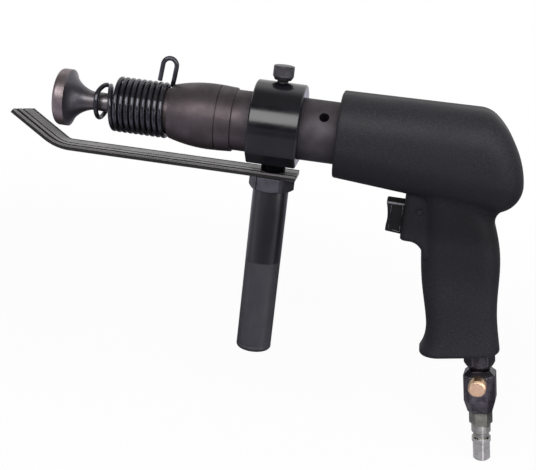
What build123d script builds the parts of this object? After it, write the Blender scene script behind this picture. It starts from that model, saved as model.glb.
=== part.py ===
from build123d import *
import os
import numpy as np
from math import asin, cos, degrees, pi, radians, sin, tan

# Pneumatic seaming hammer, in millimetres.
# The barrel axis is X: the hammer die faces -X, the pistol handle is at +X, +Z is up.
# The origin is the centre of the die's working face with the die pushed home.

# Fits
running_fit = 0.05
fixed_fit = 0.05
loose_fit = 0.3

# Hammer die
die_d = 39.4
die_rim = 8.0
die_rim_round = 2.5
die_flare = 16.0
die_flare_sag = 2.6
die_neck_d = 13.0
die_neck = 20.0
die_flange_d = 22.0
die_flange = 8.0
die_shank_d = 10.2
die_shank_nose = 5.0

# Barrel
shank_guide = 53.0
nose_d = 31.4
nose_lip = 7.7
nose = 28.8
shoulder_d = 37.2
bulge_d = 45.2
bulge = 33.0
bulge_crown = 1.4
groove_w = 0.9
groove_depth = 0.8
ring = 11.5
ring_taper = 0.6
neck_d = 41.6
neck = 12.8
barrel_d = 42.3
barrel_show = 24.9
barrel_seat = 7.2
barrel_thread_d = 39.0
barrel_thread = 48.0
seal_wire = 1.5
seal_land = 2.4
port_d = 6.7
port_back = 9.6
port_angle = 36.8

# Piston and its valve
piston_d = 19.0
piston = 40.0
piston_rear_gap = 5.0
valve_case = 14.0
valve_cap = 10.0
valve_port_d = 10.0
valve_disc_d = 24.0
valve_disc = 3.0
valve_lift = 1.0
valve_seat_gap = 0.2
cap_ports = 4
cap_port_d = 4.0
air_chamber = 6.0
dowel_d = 3.0
dowel = 26.0
dowel_in_barrel = 6.0

# Retainer spring
wire_d = 3.3
coil_pitch = 3.95
coil_turns = 9
coil_lead = 37.4
ring_coil_d = 21.8
flare_top_d = 24.0
flare_near_d = 30.0
hook_bend = 6.0
hook_lean = 15.0
hook_leg = 7.4
hook_width = 9.6
hook_tail = 12.0

# Clamp collar, thumb screw, guide bar and side handle
collar = 33.8
collar_d = 59.5
collar_flat = 15.5
collar_bottom = 24.0
collar_chamfer_in = 10.0
collar_edge = 0.8
boss_d = 17.0
thumb_head_d = 14.3
thumb_head = 9.7
thumb_head_chamfer = 2.6
thumb_head_edge = 0.8
thumb_neck = 1.6
thumb_thread_d = 8.0
bar_top = 31.5
bar_thick = 3.4
bar_w = 25.0
bar_behind = 17.2
bar_reach = 152.1
bar_tip = 36.0
bar_tip_skew = 4.2
bar_bend = 20.0
bar_rise = 32.7
bar_chamfer = 0.8
bar_groove_w = 0.9
bar_groove_depth = 0.5
bar_groove_y = 9.6
stud_d = 12.0
stud_in_handle = 20.0
nut_across = 28.0
nut_tall = 9.5
nut_turn = -5.0
nut_chamfer = 30.0
side_handle_d = 25.0
side_handle = 119.2
side_handle_round = 2.2

# Pistol handle: the housing round the barrel's rear end
housing_top = 28.8
housing_bottom = 28.7
housing_half_w = 28.9
housing_corner = 23.0
housing_len = 127.0
housing_top_rise = 0.0096
housing_bottom_fall = 0.08
housing_swell = 0.011
housing_back_r = 65.7
housing_back_below = 24.7
housing_back_round = 18.0
housing_front_round = 1.5
counterbore_d = 42.6

# Pistol handle: the grip, which leans back about its air inlet
grip_lean = 10.5
inlet_from_back = 9.2
inlet_below = 138.4
grip_root_below = 22.4
grip_base = 0.7
grip_corner = 0.76
grip_blend = 9.0
grip_base_round = 2.0
block_half_w = 14.5
block_ahead = 66.6
block_bottom = 64.6
block_edge = 4.0
block_toe = 1.6
block_back = 25.0
finger_rest = 6.5
finger_rest_r = 10.5

# Trigger and throttle valve
trigger_w = 14.6
trigger_top = 40.1
trigger_bottom = 62.4
trigger_ahead = 12.6
trigger_hollow = 2.2
trigger_toe = 1.6
trigger_behind = 8.0
trigger_travel = 6.0
trigger_panel = 0.7
trigger_rim = 2.0
trigger_pin_d = 4.0
trigger_pin_back = 10.6
trigger_pin_below = 43.4
trigger_pin_inset = 0.2
trigger_lug_wall = 2.4
throttle_below = 54.5
throttle_bore_d = 14.0
stem_d = 4.0
poppet_d = 10.0
poppet = 3.8
bushing_back = 18.0
bushing = 16.0
bushing_guide = 6.0
bushing_bore_d = 6.8
bushing_port_d = 3.6
bushing_port_back = 3.0
bushing_waist_d = 11.0
bushing_waist = 5.0
throttle_seal_wire = 1.3
throttle_seal_land = 2.0
throttle_wire = 0.9
throttle_coil_d = 7.2
throttle_pitch = 2.0
throttle_turns = 5
throttle_seal_ahead = 1.8
feed_d = 6.6
supply_d = 9.0

# Air inlet, regulator and coupler plug, counted along the leaning inlet axis
gasket = 1.0
gasket_d = 21.0
inlet_hex = 19.0
inlet_hex_tall = 7.9
inlet_cone = 5.2
inlet_cone_d = 14.4
inlet_thread_d = 17.0
inlet_thread = 14.0
inlet_bore_d = 9.0
inlet_tail_d = 11.0
inlet_tail = 3.6
screen_d = 15.0
screen = 0.8
screen_hole_d = 2.4
regulator_w = 22.0
regulator_tall = 31.5
regulator_corner = 5.0
regulator_top = 3.4
regulator_foot = 8.8
regulator_foot_in = 2.4
regulator_turn = 9.0
regulator_screw_down = 8.0
regulator_bore_d = 8.0
screw_head_d = 12.4
screw_head = 8.8
screw_thread_d = 8.0
screw_tip = 3.0
screw_head_chamfer = 1.3
screw_seal_wire = 1.0
screw_seal_land = 1.6
screw_seal_in = 2.0
washer = 0.9
washer_d = 16.4
plug_hex = 14.4
plug_hex_tall = 9.3
plug_body_d = 13.8
plug_body = 6.3
plug_neck_d = 11.4
plug_neck = 4.7
plug_ring_d = 13.6
plug_ring = 3.0
plug_tip_d = 12.2
plug_tip = 14.2
plug_tip_chamfer = 1.0
plug_bore_d = 7.0
plug_tail_d = 10.0
plug_tail = 8.0


# Stations along the barrel axis
nose_x = die_rim + die_flare + die_neck + die_flange
shoulder_x = nose_x + nose
groove_x = shoulder_x + bulge
ring_x = groove_x + ring
collar_x = ring_x + neck
collar_mid = collar_x + collar / 2
handle_x = collar_x + collar + barrel_show
seat_x = handle_x + barrel_seat
barrel_end = seat_x + barrel_thread
bore_x = nose_x + shank_guide
shank_end = bore_x + die_shank_nose
case_x = barrel_end
cap_x = case_x + valve_case
chamber_x = cap_x + valve_cap
chamber_end = chamber_x + air_chamber
piston_x = barrel_end - piston_rear_gap - piston
piston_bore = piston_d / 2 + running_fit
handle_bore = barrel_thread_d / 2 + fixed_fit
valve_r = barrel_thread_d / 2
dowel_radius = (valve_r + valve_disc_d / 2 + loose_fit) / 2

# Hammer die: rim with rounded edge, concave flare, neck, stop flange and shank
with BuildPart() as seaming_die:
    with BuildSketch(Plane.XZ):
        with BuildLine():
            Line((0, 0), (0, die_d / 2))
            Line((0, die_d / 2), (die_rim, die_d / 2))
            neck_x = die_rim + die_flare
            SagittaArc((die_rim, die_d / 2), (neck_x, die_neck_d / 2), -die_flare_sag)
            flange_x = neck_x + die_neck
            Polyline(
                (neck_x, die_neck_d / 2),
                (flange_x, die_neck_d / 2),
                (flange_x, die_flange_d / 2),
                (nose_x, die_flange_d / 2),
                (nose_x, die_shank_d / 2),
                (shank_end, die_shank_d / 2),
                (shank_end, 0),
                (0, 0),
            )
        make_face()
    revolve(axis=Axis.X)
    fillet(seaming_die.edges().group_by(Axis.X)[0], die_rim_round)
    chamfer(seaming_die.edges().group_by(Axis.X)[-1], 1.0)
seaming_die.part.label = "seaming_die"
export_step(seaming_die.part, "parts/seaming_die.step")

# Barrel: spring nose with a mouth for the die's flange, crowned head, ring, plain tube and threaded end
with BuildPart() as barrel:
    with BuildSketch(Plane.XZ):
        with BuildLine():
            shank_bore = die_shank_d / 2 + running_fit
            head_mid = (shoulder_x + groove_x) / 2
            head_mid_r = (shoulder_d + bulge_d) / 4 + bulge_crown
            ring_r = bulge_d / 2 - ring_taper
            seal_x = handle_x + barrel_seat / 2 - seal_land / 2
            seal_floor = counterbore_d / 2 - seal_wire - loose_fit / 3
            lip_x = nose_x - nose_lip
            lip_r = die_flange_d / 2 + loose_fit
            Polyline(
                (nose_x, shank_bore),
                (nose_x, lip_r),
                (lip_x, lip_r),
                (lip_x, nose_d / 2),
                (shoulder_x, nose_d / 2),
                (shoulder_x, shoulder_d / 2),
            )
            ThreePointArc((shoulder_x, shoulder_d / 2), (head_mid, head_mid_r), (groove_x, bulge_d / 2))
            Polyline(
                (groove_x, bulge_d / 2),
                (groove_x, bulge_d / 2 - groove_depth),
                (groove_x + groove_w, bulge_d / 2 - groove_depth),
                (groove_x + groove_w, bulge_d / 2),
                (ring_x - ring_taper, ring_r),
                (ring_x, ring_r - ring_taper),
                (ring_x, neck_d / 2),
                (collar_x - ring_taper, neck_d / 2),
                (collar_x - ring_taper, barrel_d / 2),
                (seal_x, barrel_d / 2),
                (seal_x, seal_floor),
                (seal_x + seal_land, seal_floor),
                (seal_x + seal_land, barrel_d / 2),
                (seat_x, barrel_d / 2),
                (seat_x, barrel_thread_d / 2),
                (barrel_end, barrel_thread_d / 2),
                (barrel_end, piston_bore),
                (bore_x, piston_bore),
                (bore_x, shank_bore),
                (nose_x, shank_bore),
            )
        make_face()
    revolve(axis=Axis.X)
    port_x = handle_x - port_back
    port_dir = (0, -cos(radians(port_angle)), sin(radians(port_angle)))
    with BuildSketch(Plane(origin=(port_x, 0, 0), x_dir=(1, 0, 0), z_dir=port_dir)):
        Circle(port_d / 2)
    extrude(amount=barrel_d, mode=Mode.SUBTRACT)
    with BuildSketch(Plane.YZ.offset(barrel_end)):
        with Locations((0, dowel_radius)):
            Circle(dowel_d / 2 + fixed_fit)
    extrude(amount=-dowel_in_barrel - loose_fit, mode=Mode.SUBTRACT)
barrel.part.label = "barrel"
export_step(barrel.part, "parts/barrel.step")

# Ring seal in the barrel's groove
with BuildPart() as barrel_seal:
    with BuildSketch(Plane.XZ):
        with Locations((seal_x + seal_land / 2, seal_floor + loose_fit / 6 + seal_wire / 2)):
            Circle(seal_wire / 2)
    revolve(axis=Axis.X)
barrel_seal.part.label = "barrel_seal"
export_step(barrel_seal.part, "parts/barrel_seal.step")

# Piston: plain hardened slug
with BuildPart() as piston_slug:
    with BuildSketch(Plane.YZ.offset(piston_x)):
        Circle(piston_d / 2)
    extrude(amount=piston)
    chamfer(piston_slug.edges().filter_by(GeomType.CIRCLE), 1.0)
piston_slug.part.label = "piston"
export_step(piston_slug.part, "parts/piston.step")

# Valve case: seat plate with the disc's pocket in its rear face
pocket_depth = valve_disc + valve_lift + 2 * valve_seat_gap
with BuildPart() as valve_case_part:
    with BuildSketch(Plane.YZ.offset(case_x)):
        Circle(valve_r)
        Circle(valve_port_d / 2, mode=Mode.SUBTRACT)
        with Locations((0, dowel_radius)):
            Circle(dowel_d / 2 + fixed_fit, mode=Mode.SUBTRACT)
    extrude(amount=valve_case)
    with BuildSketch(Plane.YZ.offset(cap_x)):
        Circle(valve_disc_d / 2 + loose_fit)
    extrude(amount=-pocket_depth, mode=Mode.SUBTRACT)
valve_case_part.part.label = "valve_case"
export_step(valve_case_part.part, "parts/valve_case.step")

# Valve disc: the loose plate that flutters between case and cap
with BuildPart() as valve_disc_part:
    with BuildSketch(Plane.YZ.offset(cap_x - valve_seat_gap - valve_disc)):
        Circle(valve_disc_d / 2)
    extrude(amount=valve_disc)
    chamfer(valve_disc_part.edges().filter_by(GeomType.CIRCLE), 0.4)
valve_disc_part.part.label = "valve_disc"
export_step(valve_disc_part.part, "parts/valve_disc.step")

# Valve cap: ported plate behind the disc
with BuildPart() as valve_cap_part:
    with BuildSketch(Plane.YZ.offset(cap_x)):
        Circle(valve_r)
        with PolarLocations(valve_disc_d / 3, cap_ports, start_angle=45):
            Circle(cap_port_d / 2, mode=Mode.SUBTRACT)
    extrude(amount=valve_cap)
    with BuildSketch(Plane.YZ.offset(cap_x)):
        with Locations((0, dowel_radius)):
            Circle(dowel_d / 2 + fixed_fit)
    extrude(amount=dowel - dowel_in_barrel - valve_case + loose_fit, mode=Mode.SUBTRACT)
valve_cap_part.part.label = "valve_cap"
export_step(valve_cap_part.part, "parts/valve_cap.step")

# Dowel that keeps barrel, case and cap in line
with BuildPart() as valve_dowel:
    with BuildSketch(Plane.YZ.offset(barrel_end - dowel_in_barrel)):
        with Locations((0, dowel_radius)):
            Circle(dowel_d / 2)
    extrude(amount=dowel)
valve_dowel.part.label = "valve_dowel"
export_step(valve_dowel.part, "parts/valve_dowel.step")


# Wound wire: each station is a point round the X axis with its rates of change along X and outwards
def station(x, radius, turn, rate_x, rate_r, centre_z=0.0):
    angle = radians(turn)
    point = Vector(x, -radius * sin(angle), centre_z + radius * cos(angle))
    along_y = -rate_r * sin(angle) - radius * cos(angle)
    along_z = rate_r * cos(angle) - radius * sin(angle)
    return point, Vector(rate_x, along_y, along_z).normalized()


# Two arcs that leave the first point and reach the second along the given directions
def biarc(first, second):
    start, start_dir = first
    end, end_dir = second
    span = end - start
    both = start_dir + end_dir
    square = both.dot(both) - 4
    half = span.dot(both)
    reach = (half - (half * half - square * span.dot(span)) ** 0.5) / square
    near = start + start_dir * reach
    far = end - end_dir * reach
    middle = (near + far) / 2
    TangentArc(start, middle, tangent=start_dir)
    TangentArc(middle, end, tangent=(far - near).normalized())


# Least gap between a wire's turns, on points along its centre line, skipping each point's neighbours
def least_gap(path, thickness, spacing):
    count = int(path.length / spacing)
    points = np.array([tuple(path.position_at(i / count)) for i in range(count + 1)])
    skip = int(2.2 * thickness / spacing) + 1
    least = path.length
    for i in range(len(points) - skip):
        apart = np.linalg.norm(points[i + skip:] - points[i], axis=1)
        least = min(least, apart.min())
    return least - thickness


# Retainer spring: front ring round the die's neck, flare, close coils on the nose, finger loop
wire_r = wire_d / 2
coil_r = nose_d / 2 + loose_fit + wire_r
ring_coil_r = ring_coil_d / 2
coil_rate = coil_pitch / (2 * pi)
lift_off = degrees(asin(hook_bend / (coil_r + hook_bend)))
coils_end = shoulder_x - wire_r - loose_fit
coils_start = coils_end - coil_lead
# Front of the wire: turn, place ahead of the coils, radius. The ring leans back at its top, then flares
front_turns = [
    (15, 10.2, ring_coil_r + 0.9),
    (50, 12.2, ring_coil_r + 0.4),
    (90, 12.3, ring_coil_r),
    (180, 11.6, ring_coil_r),
    (270, 8.9, ring_coil_r),
    (360, 5.3, flare_top_d / 2),
    (450, 1.0, flare_near_d / 2),
    (540, 0, coil_r),
    (630, -coil_pitch / 4, coil_r),
]
first, second = front_turns[:2]
first_rate = (first[1] - second[1]) / radians(second[0] - first[0])
wound = [station(coils_start - first[1], first[2], first[0], first_rate, 0)]
for before, this, following in zip(front_turns, front_turns[1:], front_turns[2:]):
    span = radians(following[0] - before[0])
    rate_x = (before[1] - following[1]) / span
    rate_r = (following[2] - before[2]) / span
    wound.append(station(coils_start - this[1], this[2], this[0], rate_x, rate_r))
for half_turn in range(1, 2 * coil_turns + 1):
    coil_x = coils_start + half_turn * coil_pitch / 2
    wound.append(station(coil_x, coil_r, 540 + 180 * half_turn, coil_rate, 0))
last_turn = 720 + 360 * coil_turns - lift_off
last_x = coils_start + (last_turn - 540) / 360 * coil_pitch
wound.append(station(last_x, coil_r, last_turn, coil_rate, 0))
lean = radians(hook_lean)
leg_dir = Vector(sin(lean), 0, cos(lean))
across_dir = Vector(-cos(lean), 0, sin(lean))
leg_foot = Vector(last_x + hook_bend * sin(lean), 0, (coil_r + hook_bend) * cos(radians(lift_off)) + 0.5)
leg_top = leg_foot + leg_dir * hook_leg
loop_top = leg_top + across_dir * hook_width
tail_end = loop_top - leg_dir * hook_tail
with BuildPart() as retainer_spring:
    with BuildLine() as wire_path:
        front_point, front_dir = wound[0]
        Line(front_point - front_dir * wire_d, front_point)
        for this, following in zip(wound, wound[1:]):
            biarc(this, following)
        biarc(wound[-1], (leg_foot, leg_dir))
        Line(leg_foot, leg_top)
        biarc((leg_top, leg_dir), (loop_top, leg_dir * -1))
        Line(loop_top, tail_end)
    wire_line = wire_path.wires()[0]
    with BuildSketch(Plane(origin=wire_line @ 0, z_dir=wire_line % 0)):
        Circle(wire_r)
    sweep(path=wire_line)
print("retainer spring: least gap to itself", round(least_gap(wire_line, wire_d, 0.8), 2), "mm")
retainer_spring.part.label = "retainer_spring"
export_step(retainer_spring.part, "parts/retainer_spring.step")

# Clamp collar: arch with flat sides, chamfered below, bored for the barrel, with a boss for the stud
collar_r = collar_d / 2
collar_bore = barrel_d / 2 + running_fit
with BuildPart() as clamp_collar:
    with BuildSketch(Plane.YZ.offset(collar_x)):
        with BuildLine():
            ThreePointArc((-collar_r, 0), (0, collar_r), (collar_r, 0))
            Polyline(
                (collar_r, 0),
                (collar_r, -collar_flat),
                (collar_r - collar_chamfer_in, -collar_bottom),
                (collar_chamfer_in - collar_r, -collar_bottom),
                (-collar_r, -collar_flat),
                (-collar_r, 0),
            )
        make_face()
    extrude(amount=collar)
    chamfer(clamp_collar.faces().filter_by(Axis.X).edges(), collar_edge)
    with BuildSketch(Plane.XY.offset(-bar_top)):
        with Locations((collar_mid, 0)):
            Circle(boss_d / 2)
    extrude(amount=bar_top - collar_bottom)
    with BuildSketch(Plane.YZ.offset(collar_x)):
        Circle(collar_bore)
    extrude(amount=collar, mode=Mode.SUBTRACT)
    with BuildSketch(Plane.XY.offset(-bar_top)):
        with Locations((collar_mid, 0)):
            Circle(stud_d / 2 + fixed_fit)
    extrude(amount=bar_top, mode=Mode.SUBTRACT)
    with BuildSketch(Plane.XY):
        with Locations((collar_mid, 0)):
            Circle(thumb_thread_d / 2 + running_fit)
    extrude(amount=collar_d, mode=Mode.SUBTRACT)
clamp_collar.part.label = "clamp_collar"
export_step(clamp_collar.part, "parts/clamp_collar.step")

# Thumb screw: knurled head with a bevelled underside, neck and thread down to the barrel
thumb_tip = barrel_d / 2 + loose_fit
thumb_head_z = collar_r + thumb_neck
thumb_top = thumb_head_z + thumb_head
with BuildPart() as thumb_screw:
    with BuildSketch(Plane.XZ):
        with BuildLine():
            Polyline(
                (collar_mid, thumb_tip),
                (collar_mid + thumb_thread_d / 2, thumb_tip),
                (collar_mid + thumb_thread_d / 2, thumb_head_z),
                (collar_mid + thumb_head_d / 2 - thumb_head_chamfer, thumb_head_z),
                (collar_mid + thumb_head_d / 2, thumb_head_z + thumb_head_chamfer),
                (collar_mid + thumb_head_d / 2, thumb_top - thumb_head_edge),
                (collar_mid + thumb_head_d / 2 - thumb_head_edge, thumb_top),
                (collar_mid, thumb_top),
                close=True,
            )
        make_face()
    revolve(axis=Axis((collar_mid, 0, 0), (0, 0, 1)))
thumb_screw.part.label = "thumb_screw"
export_step(thumb_screw.part, "parts/thumb_screw.step")

# Guide bar: grooved flat bar with a turned-up tip cut askew, drilled for the stud
bar_mid = -bar_top - bar_thick / 2
rise = radians(bar_rise)
kink_x = collar_mid - bar_reach
tip_plane = Plane(
    origin=(kink_x, 0, bar_mid),
    x_dir=(-cos(rise), 0, sin(rise)),
    z_dir=(sin(rise), 0, cos(rise)),
)
tip_blank = bar_tip + bar_tip_skew
half_t = bar_thick / 2
half_w = bar_w / 2
with BuildPart() as guide_bar:
    with BuildLine() as bar_path:
        FilletPolyline(
            (collar_mid + bar_behind, 0, bar_mid),
            (kink_x, 0, bar_mid),
            tip_plane.from_local_coords((tip_blank, 0, 0)),
            radius=bar_bend,
        )
    with BuildSketch(Plane(origin=(collar_mid + bar_behind, 0, bar_mid), x_dir=(0, 1, 0), z_dir=(1, 0, 0))):
        with BuildLine():
            Polyline(
                (0, half_t),
                (bar_groove_y, half_t),
                (bar_groove_y, half_t - bar_groove_depth),
                (bar_groove_y + bar_groove_w, half_t - bar_groove_depth),
                (bar_groove_y + bar_groove_w, half_t),
                (half_w - bar_chamfer, half_t),
                (half_w, half_t - bar_chamfer),
                (half_w, -half_t + bar_chamfer / 2),
                (half_w - bar_chamfer / 2, -half_t),
                (0, -half_t),
            )
            mirror(about=Plane.YZ)
        make_face()
    sweep(path=bar_path.wires()[0])
    with BuildSketch(tip_plane.offset(-bar_thick)):
        with BuildLine():
            Polyline(
                (bar_tip - bar_tip_skew, -bar_w),
                (bar_tip + bar_tip_skew, bar_w),
                (tip_blank + bar_w, bar_w),
                (tip_blank + bar_w, -bar_w),
                close=True,
            )
        make_face()
    extrude(amount=2 * bar_thick, mode=Mode.SUBTRACT)
    with BuildSketch(Plane.XY.offset(bar_mid - bar_thick)):
        with Locations((collar_mid, 0)):
            Circle(stud_d / 2 + running_fit)
    extrude(amount=2 * bar_thick, mode=Mode.SUBTRACT)
guide_bar.part.label = "guide_bar"
export_step(guide_bar.part, "parts/guide_bar.step")

# Stud from the collar's boss through bar and lock nut into the side handle
nut_top = -bar_top - bar_thick
handle_top = nut_top - nut_tall
stud_top = -collar_bore - 1.0
with BuildPart() as handle_stud:
    with BuildSketch(Plane.XY.offset(handle_top - stud_in_handle)):
        with Locations((collar_mid, 0)):
            Circle(stud_d / 2)
    extrude(amount=stud_top - handle_top + stud_in_handle)
handle_stud.part.label = "handle_stud"
export_step(handle_stud.part, "parts/handle_stud.step")

# Lock nut under the bar, with its lower corners turned off
with BuildPart() as lock_nut:
    with BuildSketch(Plane.XY.offset(nut_top)):
        with Locations((collar_mid, 0)):
            RegularPolygon(nut_across / 2, 6, major_radius=False, rotation=nut_turn)
    extrude(amount=-nut_tall)
    corner_r = nut_across / 2 / cos(radians(30))
    with BuildSketch(Plane.XZ):
        with BuildLine():
            Polyline(
                (collar_mid, nut_top),
                (collar_mid + corner_r, nut_top),
                (collar_mid + corner_r, handle_top + (corner_r - nut_across / 2) * tan(radians(nut_chamfer))),
                (collar_mid + nut_across / 2, handle_top),
                (collar_mid, handle_top),
                close=True,
            )
        make_face()
    revolve(axis=Axis((collar_mid, 0, 0), (0, 0, 1)), mode=Mode.INTERSECT)
    with BuildSketch(Plane.XY.offset(nut_top)):
        with Locations((collar_mid, 0)):
            Circle(stud_d / 2 + fixed_fit)
    extrude(amount=-nut_tall, mode=Mode.SUBTRACT)
lock_nut.part.label = "lock_nut"
export_step(lock_nut.part, "parts/lock_nut.step")

# Side handle: round bar with rounded lower edge
with BuildPart() as side_handle_bar:
    with BuildSketch(Plane.XY.offset(handle_top)):
        with Locations((collar_mid, 0)):
            Circle(side_handle_d / 2)
    extrude(amount=-side_handle)
    fillet(side_handle_bar.edges().group_by(Axis.Z)[0], side_handle_round)
    with BuildSketch(Plane.XY.offset(handle_top)):
        with Locations((collar_mid, 0)):
            Circle(stud_d / 2 + fixed_fit)
    extrude(amount=-stud_in_handle - loose_fit, mode=Mode.SUBTRACT)
side_handle_bar.part.label = "side_handle"
export_step(side_handle_bar.part, "parts/side_handle.step")

# Frame of the grip: z runs down the leaning air inlet, x runs across it to the rear, y to the near side
lean_back = radians(grip_lean)
inlet_x = handle_x + housing_len - inlet_from_back
inlet_plane = Plane(
    origin=(inlet_x, 0, -inlet_below),
    x_dir=(cos(lean_back), 0, sin(lean_back)),
    z_dir=(sin(lean_back), 0, -cos(lean_back)),
)
# Sections of the grip: place along the inlet axis, front edge, rear edge, half width
grip_top = (grip_root_below - inlet_below) / cos(lean_back)
grip_sections = [
    (grip_top, -37.0, 12.0, 19.5),
    (grip_top + 25, -37.0, 12.2, 18.6),
    (grip_top + 60, -38.4, 15.0, 17.2),
    (-20.0, -36.4, 12.6, 16.6),
    (-8.0, -38.6, 13.4, 17.4),
    (grip_base, -44.2, 13.9, 18.8),
]
with BuildPart() as grip:
    for place, front, rear, half in grip_sections:
        with BuildSketch(inlet_plane.offset(place)):
            with Locations(((front + rear) / 2, 0)):
                RectangleRounded(rear - front, 2 * half, half * grip_corner)
    loft()
    base_face = grip.faces().sort_by(Axis(inlet_plane.origin, inlet_plane.z_dir))[-1]
    fillet(base_face.edges(), grip_base_round)

# Trigger block ahead of the grip, with a rest for the finger below the trigger
block_x = inlet_x - block_ahead
with BuildPart() as trigger_block:
    with BuildSketch(Plane.XZ):
        with BuildLine():
            rest_start = (block_x + finger_rest, -block_bottom)
            rest_end = (block_x + finger_rest + finger_rest_r, -block_bottom - finger_rest_r)
            Polyline(
                (block_x + block_back, -housing_bottom),
                (block_x, -housing_bottom),
                (block_x, -block_bottom),
                rest_start,
            )
            TangentArc(rest_start, rest_end, tangent=(1, 0))
            Polyline(
                rest_end,
                (block_x + block_back, rest_end[1]),
                (block_x + block_back, -housing_bottom),
            )
        make_face()
    extrude(amount=block_half_w, both=True)
    block_face = trigger_block.faces().filter_by(Axis.X).sort_by(Axis.X)[0]
    fillet(block_face.edges().filter_by(Axis.Z), block_edge)
    fillet(trigger_block.faces().filter_by(Axis.X).sort_by(Axis.X)[0].edges().sort_by(Axis.Z)[0], block_toe)

# Places of the throttle parts
throttle_z = -throttle_below
pin_x = block_x + trigger_pin_back
pin_z = -trigger_pin_below
bushing_x = block_x + bushing_back
seat_end = bushing_x + bushing
port_mid = seat_end - bushing_port_back
poppet_x = seat_end + valve_seat_gap
poppet_end = poppet_x + poppet
throttle_spring_len = throttle_turns * throttle_pitch + 2 * throttle_wire
throttle_end = poppet_end + 2 * valve_seat_gap + throttle_spring_len
trigger_rear = block_x + trigger_behind
lug_end = pin_x + trigger_pin_d / 2 + loose_fit + trigger_lug_wall
lug_bottom = throttle_z + throttle_bore_d / 2 + loose_fit
pocket_half_w = trigger_w / 2 + loose_fit
pocket_end = trigger_rear + trigger_travel + loose_fit

# Pistol handle: rounded housing, leaning grip, trigger block and the air passages
with BuildPart() as handle_body:
    overrun = 8.0
    for along in (0, housing_len + overrun):
        top = housing_top + along * housing_top_rise
        bottom = housing_bottom + along * housing_bottom_fall
        with BuildSketch(Plane.YZ.offset(handle_x + along)):
            with Locations((0, (top - bottom) / 2)):
                RectangleRounded(2 * (housing_half_w + along * housing_swell), top + bottom, housing_corner)
    loft(ruled=True)
    with BuildSketch(Plane.XZ):
        with BuildLine():
            back_x = handle_x + housing_len
            back = CenterArc((back_x - housing_back_r, -housing_back_below), housing_back_r, -22, 86)
            clear_x = back_x + 2 * overrun
            Polyline(back @ 0, (clear_x, (back @ 0).Y), (clear_x, (back @ 1).Y), back @ 1)
        make_face()
    extrude(amount=2 * housing_half_w, both=True, mode=Mode.SUBTRACT)
    fillet(handle_body.faces().sort_by(Axis.X)[-1].edges(), housing_back_round)
    fillet(handle_body.faces().sort_by(Axis.X)[0].edges(), housing_front_round)
    add(grip.part)
    fillet(handle_body.edges(Select.NEW), grip_blend)
    add(trigger_block.part)
    with BuildSketch(Plane.YZ.offset(handle_x)):
        Circle(counterbore_d / 2)
    extrude(amount=barrel_seat, mode=Mode.SUBTRACT)
    with BuildSketch(Plane.YZ.offset(handle_x)):
        Circle(handle_bore)
    extrude(amount=chamber_end - handle_x, mode=Mode.SUBTRACT)
    with BuildSketch(Plane.XZ):
        with BuildLine():
            Polyline(
                (block_x - 1, loose_fit - trigger_top),
                (lug_end + trigger_travel + loose_fit, loose_fit - trigger_top),
                (lug_end + trigger_travel + loose_fit, lug_bottom - 2 * loose_fit),
                (pocket_end, lug_bottom - 2 * loose_fit),
                (pocket_end, -trigger_bottom - loose_fit),
                (block_x - 1, -trigger_bottom - loose_fit),
                close=True,
            )
        make_face()
    extrude(amount=pocket_half_w, both=True, mode=Mode.SUBTRACT)
    with BuildSketch(Plane.YZ.offset(trigger_rear)):
        with Locations((0, throttle_z)):
            Circle(throttle_bore_d / 2)
    extrude(amount=throttle_end - trigger_rear, mode=Mode.SUBTRACT)
    with BuildSketch(Plane.XZ):
        with Locations((pin_x, pin_z)):
            Circle(trigger_pin_d / 2 + fixed_fit)
    extrude(amount=2 * block_half_w, both=True, mode=Mode.SUBTRACT)
    with BuildSketch(Plane.XY.offset(throttle_z)):
        with Locations((port_mid, 0)):
            Circle(feed_d / 2)
    extrude(amount=throttle_below - barrel_thread_d / 4, mode=Mode.SUBTRACT)
    with BuildSketch(inlet_plane.offset(grip_base)):
        Circle(inlet_thread_d / 2 + fixed_fit)
    extrude(amount=-inlet_thread - screen - loose_fit, mode=Mode.SUBTRACT)
    with BuildSketch(inlet_plane.offset(grip_base)):
        Circle(supply_d / 2)
    extrude(amount=-grip_base - (inlet_below - throttle_below) / cos(lean_back), mode=Mode.SUBTRACT)
handle_body.part.label = "handle_body"
export_step(handle_body.part, "parts/handle_body.step")

# Trigger: hollowed finger face, side panels and a slotted lug that the cross pin keeps captive
trigger_x = block_x - trigger_ahead
with BuildPart() as trigger:
    with BuildSketch(Plane.XZ):
        with BuildLine():
            face_top = (trigger_x, -trigger_top)
            face_bottom = (trigger_x + trigger_toe, trigger_toe - trigger_bottom)
            face_mid = (trigger_x + trigger_hollow, -(trigger_top + trigger_bottom) / 2)
            ThreePointArc(face_top, face_mid, face_bottom)
            Polyline(
                face_bottom,
                (trigger_rear, -trigger_bottom),
                (trigger_rear, lug_bottom),
                (lug_end, lug_bottom),
                (lug_end, -trigger_top),
                face_top,
            )
        make_face()
    extrude(amount=trigger_w / 2, both=True)
    finger_face = trigger.faces().sort_by(Axis.X)[0]
    fillet(finger_face.edges(), trigger_rim / 2)
    with BuildSketch(Plane.XZ):
        with Locations((pin_x - trigger_travel / 2, pin_z)):
            SlotCenterToCenter(trigger_travel, trigger_pin_d + 2 * loose_fit)
    extrude(amount=trigger_w, both=True, mode=Mode.SUBTRACT)
    for side in (-1, 1):
        with BuildSketch(Plane.XZ.offset(side * trigger_w / 2)):
            with BuildLine():
                Polyline(
                    (trigger_x + 2 * trigger_rim, trigger_rim - trigger_bottom + trigger_rim / 2),
                    (block_x - trigger_rim / 2, trigger_rim - trigger_bottom),
                    (block_x - trigger_rim / 2, -trigger_top - trigger_rim),
                    (trigger_x + 2 * trigger_rim, -trigger_top - trigger_rim),
                    close=True,
                )
            make_face()
        extrude(amount=-side * trigger_panel, mode=Mode.SUBTRACT)
trigger.part.label = "trigger"
export_step(trigger.part, "parts/trigger.step")

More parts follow.
